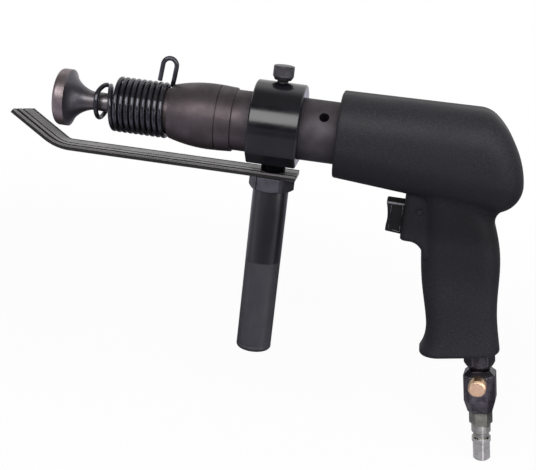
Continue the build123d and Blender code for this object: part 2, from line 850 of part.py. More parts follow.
# Cross pin of the trigger
pin_half = block_half_w - trigger_pin_inset
with BuildPart() as trigger_pin:
    with BuildSketch(Plane.XZ.offset(-pin_half)):
        with Locations((pin_x, pin_z)):
            Circle(trigger_pin_d / 2)
    extrude(amount=2 * pin_half)
trigger_pin.part.label = "trigger_pin"
export_step(trigger_pin.part, "parts/trigger_pin.step")

# Throttle valve: stem pushed by the trigger, with the poppet that opens off its seat
with BuildPart() as throttle_valve:
    with BuildSketch(Plane.YZ.offset(trigger_rear)):
        with Locations((0, throttle_z)):
            Circle(stem_d / 2)
    extrude(amount=poppet_x - trigger_rear)
    with BuildSketch(Plane.YZ.offset(poppet_x)):
        with Locations((0, throttle_z)):
            Circle(poppet_d / 2)
    extrude(amount=poppet)
    chamfer(throttle_valve.edges().group_by(Axis.X)[-1], 0.8)
throttle_valve.part.label = "throttle_valve"
export_step(throttle_valve.part, "parts/throttle_valve.step")

# Throttle bushing: stem guide, valve seat, waist and cross port to the feed passage
bushing_r = throttle_bore_d / 2 - fixed_fit
throttle_seal_x = bushing_x + throttle_seal_ahead
throttle_seal_floor = throttle_bore_d / 2 - throttle_seal_wire - loose_fit / 3
with BuildPart() as throttle_bushing:
    with BuildSketch(Plane.YZ.offset(bushing_x)):
        with Locations((0, throttle_z)):
            Circle(bushing_r)
    extrude(amount=bushing)
    for start, length, floor in (
        (throttle_seal_x, throttle_seal_land, throttle_seal_floor),
        (port_mid - bushing_waist / 2, bushing_waist, bushing_waist_d / 2),
    ):
        with BuildSketch(Plane.YZ.offset(start)):
            with Locations((0, throttle_z)):
                Circle(throttle_bore_d)
                Circle(floor, mode=Mode.SUBTRACT)
        extrude(amount=length, mode=Mode.SUBTRACT)
    with BuildSketch(Plane.YZ.offset(bushing_x)):
        with Locations((0, throttle_z)):
            Circle(stem_d / 2 + running_fit)
    extrude(amount=bushing, mode=Mode.SUBTRACT)
    with BuildSketch(Plane.YZ.offset(bushing_x + bushing_guide)):
        with Locations((0, throttle_z)):
            Circle(bushing_bore_d / 2)
    extrude(amount=bushing - bushing_guide, mode=Mode.SUBTRACT)
    with BuildSketch(Plane.XY.offset(throttle_z)):
        with Locations((port_mid, 0)):
            Circle(bushing_port_d / 2)
    extrude(amount=throttle_bore_d, both=True, mode=Mode.SUBTRACT)
throttle_bushing.part.label = "throttle_bushing"
export_step(throttle_bushing.part, "parts/throttle_bushing.step")

# Ring seal on the throttle bushing
throttle_axis = Axis((0, 0, throttle_z), (1, 0, 0))
with BuildPart() as throttle_seal:
    with BuildSketch(Plane.XZ):
        seal_up = throttle_seal_floor + loose_fit / 6 + throttle_seal_wire / 2
        with Locations((throttle_seal_x + throttle_seal_land / 2, throttle_z + seal_up)):
            Circle(throttle_seal_wire / 2)
    revolve(axis=throttle_axis)
throttle_seal.part.label = "throttle_seal"
export_step(throttle_seal.part, "parts/throttle_seal.step")

# Throttle spring: closes the poppet and returns the trigger
throttle_rate = throttle_pitch / (2 * pi)
throttle_start = poppet_end + valve_seat_gap + throttle_wire
with BuildPart() as throttle_spring:
    with BuildLine() as small_path:
        small_stations = [
            station(
                throttle_start + half_turn * throttle_pitch / 2,
                throttle_coil_d / 2,
                180 * half_turn,
                throttle_rate,
                0,
                throttle_z,
            )
            for half_turn in range(2 * throttle_turns + 1)
        ]
        small_point, small_dir = small_stations[0]
        Line(small_point - small_dir * throttle_wire, small_point)
        for this, following in zip(small_stations, small_stations[1:]):
            biarc(this, following)
        small_point, small_dir = small_stations[-1]
        Line(small_point, small_point + small_dir * throttle_wire)
    small_line = small_path.wires()[0]
    with BuildSketch(Plane(origin=small_line @ 0, z_dir=small_line % 0)):
        Circle(throttle_wire / 2)
    sweep(path=small_line)
print("throttle spring: least gap to itself", round(least_gap(small_line, throttle_wire, 0.3), 2), "mm")
throttle_spring.part.label = "throttle_spring"
export_step(throttle_spring.part, "parts/throttle_spring.step")

# Gasket between grip and inlet bushing
flange_s = grip_base + gasket
with BuildPart() as inlet_gasket:
    with BuildSketch(inlet_plane.offset(grip_base)):
        Circle(gasket_d / 2)
        Circle(inlet_thread_d / 2 + fixed_fit, mode=Mode.SUBTRACT)
    extrude(amount=gasket)
inlet_gasket.part.label = "inlet_gasket"
export_step(inlet_gasket.part, "parts/inlet_gasket.step")

# Inlet bushing: thread in the grip, hexagon, cone and tail in the regulator
cone_s = flange_s + inlet_hex_tall
regulator_s = cone_s + inlet_cone
hex_corner = inlet_hex / 2 / cos(radians(30))
with BuildPart() as inlet_bushing:
    with BuildSketch(inlet_plane.offset(flange_s)):
        RegularPolygon(inlet_hex / 2, 6, major_radius=False)
    extrude(amount=inlet_hex_tall + inlet_cone)
    for place, radius in ((flange_s, hex_corner), (cone_s, hex_corner), (regulator_s, inlet_cone_d / 2)):
        with BuildSketch(inlet_plane.offset(place)):
            Circle(radius)
    loft(ruled=True, mode=Mode.INTERSECT)
    with BuildSketch(inlet_plane.offset(grip_base - inlet_thread)):
        Circle(inlet_thread_d / 2)
    extrude(amount=inlet_thread + gasket)
    with BuildSketch(inlet_plane.offset(regulator_s)):
        Circle(inlet_tail_d / 2)
    extrude(amount=inlet_tail)
    with BuildSketch(inlet_plane.offset(grip_base - inlet_thread)):
        Circle(inlet_bore_d / 2)
    extrude(amount=inlet_thread + regulator_s + inlet_tail, mode=Mode.SUBTRACT)
inlet_bushing.part.label = "inlet_bushing"
export_step(inlet_bushing.part, "parts/inlet_bushing.step")

# Inlet screen: drilled disc on top of the bushing
with BuildPart() as inlet_screen:
    with BuildSketch(inlet_plane.offset(grip_base - inlet_thread)):
        Circle(screen_d / 2)
        with PolarLocations(screen_d / 4, 6):
            Circle(screen_hole_d / 2, mode=Mode.SUBTRACT)
        Circle(screen_hole_d / 2, mode=Mode.SUBTRACT)
    extrude(amount=-screen)
inlet_screen.part.label = "inlet_screen"
export_step(inlet_screen.part, "parts/inlet_screen.step")

# Regulator body: block with bevelled corners and a tapered foot, turned a little as it was screwed home
turned = radians(regulator_turn)
regulator_plane = Plane(
    origin=inlet_plane.origin,
    x_dir=inlet_plane.x_dir * cos(turned) + inlet_plane.y_dir * sin(turned),
    z_dir=inlet_plane.z_dir,
)
washer_s = regulator_s + regulator_tall
plug_s = washer_s + washer
screw_s = regulator_s + regulator_screw_down
screw_plane = Plane(
    origin=regulator_plane.from_local_coords((0, 0, screw_s)),
    x_dir=regulator_plane.x_dir,
    z_dir=regulator_plane.y_dir,
)
inlet_axis = Axis(inlet_plane.origin, inlet_plane.z_dir)
with BuildPart() as regulator_body:
    for inset, place in (
        (regulator_top, regulator_s),
        (0, regulator_s + regulator_top),
        (0, washer_s - regulator_foot),
        (regulator_foot_in, washer_s),
    ):
        with BuildSketch(regulator_plane.offset(place)) as regulator_outline:
            Rectangle(regulator_w - 2 * inset, regulator_w - 2 * inset)
            chamfer(regulator_outline.vertices(), regulator_corner - inset / 2)
    loft(ruled=True)
    for place, diameter, depth in (
        (regulator_s, inlet_tail_d, inlet_tail + loose_fit),
        (washer_s, plug_tail_d, -plug_tail - loose_fit),
        (regulator_s, regulator_bore_d, regulator_tall),
    ):
        with BuildSketch(regulator_plane.offset(place)):
            Circle(diameter / 2 + fixed_fit)
        extrude(amount=depth, mode=Mode.SUBTRACT)
    with BuildSketch(screw_plane):
        Circle(screw_thread_d / 2 + running_fit)
    extrude(amount=regulator_w, mode=Mode.SUBTRACT)
regulator_body.part.label = "regulator_body"
export_step(regulator_body.part, "parts/regulator_body.step")

# Regulator screw: round head, shank with a seal groove, its tip standing in the air way
screw_face = regulator_w / 2 + valve_seat_gap
screw_groove = regulator_w / 2 - screw_seal_in - screw_seal_land
screw_seal_floor = screw_thread_d / 2 - screw_seal_wire - loose_fit / 3
with BuildPart() as regulator_screw:
    with BuildSketch(screw_plane.offset(screw_tip)):
        Circle(screw_thread_d / 2)
    extrude(amount=screw_face - screw_tip)
    with BuildSketch(screw_plane.offset(screw_groove)):
        Circle(screw_thread_d)
        Circle(screw_seal_floor, mode=Mode.SUBTRACT)
    extrude(amount=screw_seal_land, mode=Mode.SUBTRACT)
    with BuildSketch(screw_plane.offset(screw_face)):
        Circle(screw_head_d / 2)
    extrude(amount=screw_head)
    screw_axis = Axis(screw_plane.origin, screw_plane.z_dir)
    chamfer(regulator_screw.faces().sort_by(screw_axis)[-1].edges(), screw_head_chamfer)
regulator_screw.part.label = "regulator_screw"
export_step(regulator_screw.part, "parts/regulator_screw.step")

# Ring seal on the regulator screw
seal_plane = Plane(origin=screw_plane.origin, x_dir=screw_plane.z_dir, z_dir=screw_plane.y_dir)
with BuildPart() as regulator_seal:
    with BuildSketch(seal_plane):
        screw_seal_r = screw_seal_floor + loose_fit / 6 + screw_seal_wire / 2
        with Locations((screw_groove + screw_seal_land / 2, screw_seal_r)):
            Circle(screw_seal_wire / 2)
    revolve(axis=screw_axis)
regulator_seal.part.label = "regulator_seal"
export_step(regulator_seal.part, "parts/regulator_seal.step")

# Washer between regulator and plug
with BuildPart() as plug_washer:
    with BuildSketch(inlet_plane.offset(washer_s)):
        Circle(washer_d / 2)
        Circle(plug_tail_d / 2 + fixed_fit, mode=Mode.SUBTRACT)
    extrude(amount=washer)
plug_washer.part.label = "plug_washer"
export_step(plug_washer.part, "parts/plug_washer.step")

# Coupler plug: tail, hexagon, body, neck, locking ring and tip
with BuildPart() as air_plug:
    with BuildSketch(inlet_plane.offset(plug_s)):
        RegularPolygon(plug_hex / 2, 6, major_radius=False)
    extrude(amount=plug_hex_tall)
    place = washer_s - plug_tail
    for diameter, length in (
        (plug_tail_d, plug_tail + washer + plug_hex_tall),
        (plug_body_d, plug_body),
        (plug_neck_d, plug_neck),
        (plug_ring_d, plug_ring),
        (plug_tip_d, plug_tip),
    ):
        with BuildSketch(inlet_plane.offset(place)):
            Circle(diameter / 2)
        extrude(amount=length)
        place = place + length
    chamfer(air_plug.faces().sort_by(inlet_axis)[-1].edges(), plug_tip_chamfer)
    with BuildSketch(inlet_plane.offset(washer_s - plug_tail)):
        Circle(plug_bore_d / 2)
    extrude(amount=place - washer_s + plug_tail, mode=Mode.SUBTRACT)
air_plug.part.label = "air_plug"
export_step(air_plug.part, "parts/air_plug.step")
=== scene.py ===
import math
import bmesh
import bpy
import numpy as np
from mathutils import Matrix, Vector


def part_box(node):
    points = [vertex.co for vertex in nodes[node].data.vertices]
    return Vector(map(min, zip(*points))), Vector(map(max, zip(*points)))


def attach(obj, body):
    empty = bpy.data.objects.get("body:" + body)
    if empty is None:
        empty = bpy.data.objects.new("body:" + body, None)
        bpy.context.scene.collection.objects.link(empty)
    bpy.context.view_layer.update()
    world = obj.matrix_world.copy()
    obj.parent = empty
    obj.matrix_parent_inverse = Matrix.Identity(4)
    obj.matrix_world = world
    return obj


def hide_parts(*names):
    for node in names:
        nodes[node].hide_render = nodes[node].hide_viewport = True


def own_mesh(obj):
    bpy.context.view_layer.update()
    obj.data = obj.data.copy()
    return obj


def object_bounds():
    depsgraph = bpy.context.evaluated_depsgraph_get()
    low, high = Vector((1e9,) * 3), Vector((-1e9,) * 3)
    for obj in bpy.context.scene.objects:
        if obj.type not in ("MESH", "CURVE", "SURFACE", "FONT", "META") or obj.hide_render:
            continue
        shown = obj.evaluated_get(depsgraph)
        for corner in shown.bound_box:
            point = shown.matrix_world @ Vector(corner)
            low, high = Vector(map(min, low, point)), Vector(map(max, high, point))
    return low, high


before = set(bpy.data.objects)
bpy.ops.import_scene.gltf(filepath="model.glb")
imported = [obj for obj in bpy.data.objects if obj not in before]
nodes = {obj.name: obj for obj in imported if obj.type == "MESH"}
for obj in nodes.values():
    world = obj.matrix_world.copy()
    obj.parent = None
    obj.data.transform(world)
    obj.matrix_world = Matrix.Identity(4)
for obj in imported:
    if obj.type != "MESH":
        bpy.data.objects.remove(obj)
cadLow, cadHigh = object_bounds()
scene = bpy.context.scene
scene.view_settings.view_transform = "Standard"
mm = 0.001
white = (1, 1, 1, 1)
alongX = np.array([1.0, 0, 0])
alongY = np.array([0, 1.0, 0])
print("frame loaded:", len(nodes), "CAD nodes")


def linear(hexColour):  # sRGB hex to linear RGBA
    coded = np.array([int(hexColour[i:i + 2], 16) for i in (1, 3, 5)]) / 255
    light = np.where(coded <= 0.04045, coded / 12.92, ((coded + 0.055) / 1.055) ** 2.4)
    return (*light.tolist(), 1.0)


def addNode(tree, kind, props=None, inputs=None):  # a socket as input value becomes a link
    node = tree.nodes.new(kind)
    for name, value in (props or {}).items():
        setattr(node, name, value)
    for name, value in (inputs or {}).items():
        if isinstance(value, bpy.types.NodeSocket):
            tree.links.new(value, node.inputs[name])
        else:
            node.inputs[name].default_value = value
    return node


def mapped(tree, value, span, to=(0.0, 1.0), curve="SMOOTHSTEP"):  # carries a value from one span to another
    node = addNode(tree, "ShaderNodeMapRange", {"interpolation_type": curve}, {
        "Value": value, "From Min": span[0], "From Max": span[1], "To Min": to[0], "To Max": to[1]})
    return node.outputs[0]


def maths(tree, operation, *values):
    return addNode(tree, "ShaderNodeMath", {"operation": operation}, dict(enumerate(values))).outputs[0]


def vectorMaths(tree, operation, inputs, output="Vector"):
    return addNode(tree, "ShaderNodeVectorMath", {"operation": operation}, inputs).outputs[output]


mixSockets = {"FLOAT": (2, 3, 0), "VECTOR": (4, 5, 1), "RGBA": (6, 7, 2)}  # a Mix node's inputs and output


def mixed(tree, kind, share, one, two):
    first, second, result = mixSockets[kind]
    node = addNode(tree, "ShaderNodeMix", {"data_type": kind}, {0: share, first: one, second: two})
    return node.outputs[result]


def perMm(size):  # texture scale for a pattern whose features are this many millimetres
    return 1 / (size * mm)


# Shared by all finishes: noise settings, and the spans of noise over which each effect comes in
recipe = {
    "blotchNoise": {"Detail": 5.0, "Roughness": 0.55}, "grainNoise": {"Detail": 2.0, "Roughness": 0.6},
    "tintSpan": (0.35, 0.68), "speckSpan": (0.42, 0.72), "roughSpan": (0.3, 0.7), "chipSpan": (0.36, 0.60),
    "cornerSpan": (0.99, 0.80),  # cosine between the rounded normal and the true one
    "samples": 4,
}
# What a finish has unless it says otherwise. Zones follow the photographed light: each has its axis,
# from mm, to mm, the RGB factor past there and, in some, the share of shine left there
usual = {
    "stretch": (1, 1, 1), "speck": 0.2, "specular": 0.5, "metallic": 0.0, "hollowShade": 0.4, "hollowShadeMm": 7,
    "hollows": (0.2, 0.8), "paintedLightZones": [],
}


# One recipe for a finish on Object coordinates: a slow blotch shifts colour and roughness, a fine grain
# gives the bump, corners are broken by a rounded normal and rubbed thin, and painted shade darkens the
# hollows
def surfaceFinish(name, own):
    spec = {**usual, **own}
    mat = bpy.data.materials.new(name)
    mat.use_nodes = True
    tree = mat.node_tree
    shader = tree.nodes["Principled BSDF"]
    coords = addNode(tree, "ShaderNodeTexCoord").outputs["Object"]
    place = addNode(tree, "ShaderNodeSeparateXYZ", {}, {0: coords}).outputs
    stretched = addNode(tree, "ShaderNodeMapping", {}, {"Vector": coords, "Scale": spec["stretch"]})
    blotch = addNode(tree, "ShaderNodeTexNoise", {}, {
        "Vector": coords, "Scale": perMm(spec["blotchMm"]), **recipe["blotchNoise"]}).outputs["Fac"]
    grainInputs = {"Vector": stretched.outputs[0], "Scale": perMm(spec["grainMm"]), **recipe["grainNoise"]}
    grain = addNode(tree, "ShaderNodeTexNoise", {}, grainInputs).outputs["Fac"]
    spread = mapped(tree, blotch, recipe["tintSpan"])
    tint = mixed(tree, "RGBA", spread, linear(spec["base"]), linear(spec["second"]))
    speck = mapped(tree, grain, recipe["speckSpan"], (0.0, spec["speck"]), "LINEAR")
    colour = mixed(tree, "RGBA", speck, tint, linear(spec.get("speckColour", spec["second"])))
    shine = spec["specular"]
    # painted light and shade: past each zone's place the colour, and in some the shine, is scaled
    for axis, start, stop, factor, *dulled in spec["paintedLightZones"]:
        past = mapped(tree, place[axis], (start * mm, stop * mm))
        scaled = mixed(tree, "VECTOR", past, (1, 1, 1), factor)
        colour = vectorMaths(tree, "MULTIPLY", {0: colour, 1: scaled})
        if dulled:
            shine = maths(tree, "MULTIPLY", mixed(tree, "FLOAT", past, 1.0, dulled[0]), shine)
    rough = mapped(tree, blotch, recipe["roughSpan"], spec["rough"], "LINEAR")
    if "matter" in spec:  # rougher past a place: axis, from mm, to mm, roughness added
        axis, start, stop, added = spec["matter"]
        rough = maths(tree, "ADD", rough, mapped(tree, place[axis], (start * mm, stop * mm), (0.0, added)))
    samples = {"samples": recipe["samples"]}
    rounded = addNode(tree, "ShaderNodeBevel", samples, {"Radius": spec["edgeMm"] * mm}).outputs[0]
    if "wornColour" in spec:  # the rounded normal leaves the true one only near a corner
        true = addNode(tree, "ShaderNodeNewGeometry").outputs["Normal"]
        along = vectorMaths(tree, "DOT_PRODUCT", {0: rounded, 1: true}, "Value")
        corner = mapped(tree, along, recipe["cornerSpan"], (0.0, spec["wear"]))
        chips = mapped(tree, blotch, recipe["chipSpan"])
        rubbed = maths(tree, "MULTIPLY", corner, chips)
        colour = mixed(tree, "RGBA", rubbed, colour, linear(spec["wornColour"]))
    # painted shade: colour and shine are darkened where ambient occlusion finds surfaces close by
    hollow = addNode(tree, "ShaderNodeAmbientOcclusion", samples, {"Distance": spec["hollowShadeMm"] * mm})
    unshaded = mapped(tree, hollow.outputs["AO"], spec["hollows"], (1 - spec["hollowShade"], 1.0))
    colour = vectorMaths(tree, "SCALE", {0: colour, "Scale": unshaded})
    tree.links.new(maths(tree, "MULTIPLY", unshaded, shine), shader.inputs["Specular IOR Level"])
    tree.links.new(colour, shader.inputs["Base Color"])
    tree.links.new(rough, shader.inputs["Roughness"])
    shader.inputs["Metallic"].default_value = spec["metallic"]
    bump = addNode(tree, "ShaderNodeBump", {}, {
        "Height": grain, "Distance": spec["bumpMm"] * mm, "Strength": 1.0, "Normal": rounded})
    tree.links.new(bump.outputs[0], shader.inputs["Normal"])
    return mat


# Wrinkle powder coat on a cast aluminium handle: matt black with a fine sandy sparkle
wrinkleCoat = surfaceFinish("wrinklePowderCoat", {
    "base": "#18171b", "second": "#1d1c21", "speckColour": "#313038", "speck": 0.6,
    "blotchMm": 40, "grainMm": 1.1, "rough": (0.55, 0.7), "bumpMm": 0.25, "specular": 0.32, "edgeMm": 4.0,
    "hollowShade": 0.3, "hollowShadeMm": 14,
    # painted shade: colour and shine darken downwards from Z 24 to their darkest at the housing and grip
    # junction, and the colour lightens again down the grip; the wide hollow shade darkens the junction too
    "paintedLightZones": [("Z", 24, -16, (0.4, 0.4, 0.44), 0.85), ("Z", -28, -40, (0.7, 0.7, 0.72), 0.8),
              ("Z", -52, -66, (1.43, 1.43, 1.39), 1.25), ("Z", -74, -102, (1.9, 1.9, 1.8))],
})
# Manganese phosphate on turned steel: brown-black, satin, oil-stained in soft patches
phosphate = surfaceFinish("phosphatedSteel", {
    "base": "#4f474a", "second": "#40393c", "speckColour": "#5c5356", "speck": 0.3,
    "blotchMm": 13, "grainMm": 0.5, "stretch": (3, 1, 1), "rough": (0.4, 0.52), "bumpMm": 0.02,
    "metallic": 0.75, "edgeMm": 0.4, "wornColour": "#857b79", "wear": 0.7,
    # painted reflection: past X 128 the tube's colour is shifted bluish; it is also rougher there
    "paintedLightZones": [("X", 128, 142, (0.95, 1.04, 1.07))], "matter": ("X", 128, 142, 0.2),
})
# Same phosphate rubbed thin on the die by work: greyer, the steel showing through
rubbedSteel = surfaceFinish("rubbedPhosphateSteel", {
    "base": "#7d7274", "second": "#665c5e", "speckColour": "#998e90", "speck": 0.3,
    "blotchMm": 9, "grainMm": 0.5, "stretch": (3, 1, 1), "rough": (0.3, 0.42), "bumpMm": 0.02,
    "metallic": 0.85, "edgeMm": 0.4, "wornColour": "#aaa19f", "wear": 0.7,
    # painted shade: the flare past X 8 is darkened and cooled, and the colour lightens again along the neck
    # past X 17
    "paintedLightZones": [("X", 7.6, 8.6, (0.46, 0.52, 0.58)), ("X", 17, 24, (1.68, 1.65, 1.52))],
})
# Hard anodised aluminium, polished first: deep black with a clear sharp reflection
anodised = surfaceFinish("glossBlackAnodised", {
    "base": "#09090e", "second": "#0e0e14", "blotchMm": 25, "grainMm": 0.6, "stretch": (1, 4, 4),
    "rough": (0.16, 0.24), "bumpMm": 0.004, "edgeMm": 0.4, "wornColour": "#5c5c60", "wear": 0.6,
    "hollowShade": 0.45, "hollowShadeMm": 8,
    # painted shade: the shine is dimmed in a band from Z 5 down to Z -4 below the arch's highlight and on the
    # flats below Z -12, and the boss below Z -23 is darkened in colour and shine; the hollow shade darkens
    # round the screw and the boss
    "paintedLightZones": [("Z", 5, 2, (1, 1, 1), 0.6), ("Z", -1, -4, (1, 1, 1), 1.67),
              ("Z", -12, -19, (1, 1, 1), 0.45), ("Z", -23, -25, (0.4, 0.4, 0.4), 0.15)],
})
# Same anodising left satin on the side handle, paler where the knurl breaks the light
satinAnodised = surfaceFinish("satinBlackAnodised", {
    "base": "#333238", "second": "#2d2c32", "blotchMm": 22, "grainMm": 0.5, "rough": (0.26, 0.36),
    "bumpMm": 0.01, "speck": 0.15, "edgeMm": 0.3, "wornColour": "#55555a", "wear": 0.3,
    # painted shade: the knurled part below Z -96.4 is darkened to about a tenth of the plain part's colour
    "paintedLightZones": [("Z", -96.6, -96.4, (0.09, 0.09, 0.11))],
})
# Black oxide on small steel parts: thin, a little grey on the corners
blackOxide = surfaceFinish("blackOxideSteel", {
    "base": "#4b494d", "second": "#3c3a3e", "blotchMm": 6, "grainMm": 0.4, "rough": (0.35, 0.5),
    "bumpMm": 0.01, "metallic": 0.7, "edgeMm": 0.4, "wornColour": "#7d7d80", "wear": 0.7,
    # painted light and shade: the colour is lighter and bluish below Z -20, where the nut is, and darkened at
    # X under 146, with its shine dimmed, and past X 165, on the nut's side facets
    "paintedLightZones": [("Z", 0, -20, (1.35, 1.35, 1.45)), ("X", 147, 146, (0.2, 0.2, 0.2), 0.1),
              ("X", 163, 165, (0.45, 0.45, 0.45))],
})
# The same oxide dulled by paint dust on the trigger's pin
dullOxide = surfaceFinish("dulledOxideSteel", {
    "base": "#19191b", "second": "#141416", "blotchMm": 3, "grainMm": 0.4, "rough": (0.5, 0.65),
    "bumpMm": 0.01, "specular": 0.2, "edgeMm": 0.3,
})
# Oil-tempered spring wire: blue-black drawn skin with a soft shine
temperedWire = surfaceFinish("oilTemperedWire", {
    "base": "#434349", "second": "#2c2c32", "blotchMm": 7, "grainMm": 0.4, "rough": (0.14, 0.24),
    "bumpMm": 0.004, "metallic": 0.7, "edgeMm": 0.1, "hollowShade": 0.6, "hollowShadeMm": 3,
})
# Black paint on a drawn steel bar: worn grey along its ridges, streaked along its length
barPaint = surfaceFinish("drawnBarPaint", {
    "base": "#5a5658", "second": "#4a4748", "speckColour": "#7a7577", "speck": 0.5,
    "blotchMm": 12, "grainMm": 1.6, "stretch": (0.04, 1, 0.3), "rough": (0.3, 0.42), "bumpMm": 0.03,
    # its strong hollow shade is painted shade by the collar's boss and in the grooves
    "specular": 0.6, "edgeMm": 0.25, "wornColour": "#b0adae", "wear": 1.0, "hollowShade": 0.9, "hollowShadeMm": 4.0,
})
# A darker copy of the same paint, painted shade on the bar's sides and in its grooves
barShadePaint = surfaceFinish("shadedBarPaint", {
    "base": "#121112", "second": "#191819", "blotchMm": 10, "grainMm": 1.6, "stretch": (0.04, 1, 0.3),
    "rough": (0.4, 0.55), "bumpMm": 0.02, "specular": 0.3, "edgeMm": 0.2,
})
# Glass-filled nylon trigger: moulded, finely matt, with a painted highlight line below its top edge and its
# top painted darker with its shine dimmed
triggerNylon = surfaceFinish("glassFilledNylon", {
    "base": "#1b1b1d", "second": "#202022", "blotchMm": 8, "grainMm": 0.5, "rough": (0.45, 0.55),
    "bumpMm": 0.02, "specular": 0.06, "edgeMm": 0.5, "wornColour": "#9a9a9c", "wear": 1.0,
    "paintedLightZones": [("Z", -41.6, -41.3, (15, 15, 15)), ("Z", -40.5, -40.25, (0.01, 0.01, 0.01), 0.05)],
})
# Zinc die casting, gunmetal plated: grey with small cast pits
gunmetal = surfaceFinish("gunmetalPlate", {
    "base": "#5c585d", "second": "#38353a", "speckColour": "#6b666d", "speck": 0.3,
    "blotchMm": 5, "grainMm": 0.5, "rough": (0.16, 0.3), "bumpMm": 0.03,
    "metallic": 0.9, "edgeMm": 0.7, "wornColour": "#a29da3", "wear": 0.85,
    # painted shade: the colour is darkened above Z -153.5, on the inlet bushing, and past X 328, on the
    # regulator's right side
    "paintedLightZones": [("Z", -154.5, -153.5, (0.7, 0.7, 0.7)), ("X", 325, 328, (0.44, 0.42, 0.46))],
})
# Brass screw, tarnished to copper pink on its flat head
agedBrass = surfaceFinish("tarnishedBrass", {
    "base": "#e8c8a6", "second": "#dab594", "speckColour": "#b98d74",
    "blotchMm": 4, "grainMm": 0.5, "rough": (0.3, 0.45), "bumpMm": 0.015,
    "metallic": 1.0, "edgeMm": 0.9, "wornColour": "#f4e2d3", "wear": 1.0,
})
# Nickel plate over turned brass: pale, bright, lightly scuffed
nickel = surfaceFinish("brightNickel", {
    "base": "#dad9d0", "second": "#bebdb5", "speckColour": "#88878a", "blotchMm": 4, "grainMm": 0.3,
    "stretch": (1, 1, 5), "rough": (0.06, 0.16), "bumpMm": 0.006, "metallic": 1.0, "edgeMm": 0.3,
    "hollowShade": 0.95, "hollowShadeMm": 3.0, "hollows": (0.45, 0.95),
    # painted shade: the plug darkens upwards, from Z -204 and again from Z -194; its strong hollow shade
    # draws dark rings at its steps
    "paintedLightZones": [("Z", -204.5, -203.5, (0.62, 0.62, 0.6)), ("Z", -195.5, -193.5, (0.5, 0.5, 0.46))],
})
# Ground tool steel inside the tool
groundSteel = surfaceFinish("groundSteel", {
    "base": "#9a9a9c", "second": "#8c8c8f", "blotchMm": 8, "grainMm": 0.3, "stretch": (1, 4, 4),
    "rough": (0.25, 0.35), "bumpMm": 0.005, "metallic": 1.0, "edgeMm": 0.2,
})
# Nitrile rubber seals: dull black
nitrile = surfaceFinish("nitrileRubber", {
    "base": "#1c1c1d", "second": "#232324", "blotchMm": 5, "grainMm": 0.4, "rough": (0.6, 0.75),
    "bumpMm": 0.02, "edgeMm": 0.2,
})
print("finishes made:", len(bpy.data.materials))

nodeFinish = {
    wrinkleCoat: ["handle_body"],
    phosphate: ["barrel"],
    rubbedSteel: ["seaming_die"],
    anodised: ["clamp_collar"],
    blackOxide: ["handle_stud", "lock_nut"],
    dullOxide: ["trigger_pin"],
    triggerNylon: ["trigger"],
    gunmetal: ["inlet_bushing", "regulator_body"],
    agedBrass: ["regulator_screw"],
    nickel: ["air_plug", "plug_washer"],
    groundSteel: ["piston", "valve_case", "valve_disc", "valve_cap", "valve_dowel", "throttle_valve",
                  "throttle_bushing", "inlet_screen"],
    nitrile: ["barrel_seal", "throttle_seal", "inlet_gasket", "regulator_seal"],
}
for finish, names in nodeFinish.items():
    for name in names:
        mesh = nodes[name].data
        mesh.materials.clear()
        mesh.materials.append(finish)
weld = 1e-7  # m, points closer than this become one


# Quads between the neighbours of a grid of points in mm, whose last column joins the first
def gridPiece(name, grid, finish, body, replaced, sharp=40):
    rows, columns, _ = grid.shape
    index = np.arange(rows * columns).reshape(rows, columns)
    index = np.hstack([index, index[:, :1]])
    quads = np.stack([index[:-1, :-1], index[1:, :-1], index[1:, 1:], index[:-1, 1:]], -1).reshape(-1, 4)
    mesh = bpy.data.meshes.new(name)
    mesh.from_pydata((grid.reshape(-1, 3) * mm).tolist(), [], quads.tolist())
    work = bmesh.new()
    work.from_mesh(mesh)
    bmesh.ops.remove_doubles(work, verts=work.verts, dist=weld)
    bmesh.ops.recalc_face_normals(work, faces=work.faces)
    work.to_mesh(mesh)
    work.free()
    mesh.polygons.foreach_set("use_smooth", np.ones(len(mesh.polygons), bool))
    mesh.set_sharp_from_angle(angle=math.radians(sharp))
    mesh.materials.append(finish)
    piece = bpy.data.objects.new(name, mesh)
    scene.collection.objects.link(piece)
    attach(piece, body)
    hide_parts(*replaced)
    print(name, "has", len(mesh.polygons), "faces")
    return piece


def unit(vectors):
    return vectors / np.linalg.norm(vectors, axis=-1, keepdims=True)


# Tube: a circle of the wire's radius carried square to the path, its two ends bevelled and closed to a point
def wireGrid(path, reference, radius, sides):
    tangent = unit(np.gradient(path, axis=0))
    across = unit(np.cross(tangent, reference))
    up = np.cross(tangent, across)
    turn = np.linspace(0, 2 * np.pi, sides, endpoint=False)
    ring = across[:, None] * np.cos(turn)[:, None] + up[:, None] * np.sin(turn)[:, None]
    tube = path[:, None] + radius * ring
    bevel = 0.25 * radius
    inner = radius - bevel
    start = [np.repeat(path[:1], sides, 0), path[0] + inner * ring[0], tube[0] + tangent[0] * bevel]
    stop = [tube[-1] - tangent[-1] * bevel, path[-1] + inner * ring[-1], np.repeat(path[-1:], sides, 0)]
    return np.concatenate([np.stack(start), tube[1:-1], np.stack(stop)])


def evenly(line, spacing):  # the same line with points at equal distances; further columns go along
    along = np.concatenate([[0], np.cumsum(np.linalg.norm(np.diff(line[:, :3], axis=0), axis=1))])
    places = np.linspace(0, along[-1], int(along[-1] / spacing))
    return np.stack([np.interp(places, along, column) for column in line.T], 1)


def cubic(share, start, leave, stop, arrive):  # from start to stop, with the slopes at both
    return ((2 * share**3 - 3 * share**2 + 1) * start + (share**3 - 2 * share**2 + share) * leave
            + (3 * share**2 - 2 * share**3) * stop + (share**3 - share**2) * arrive)


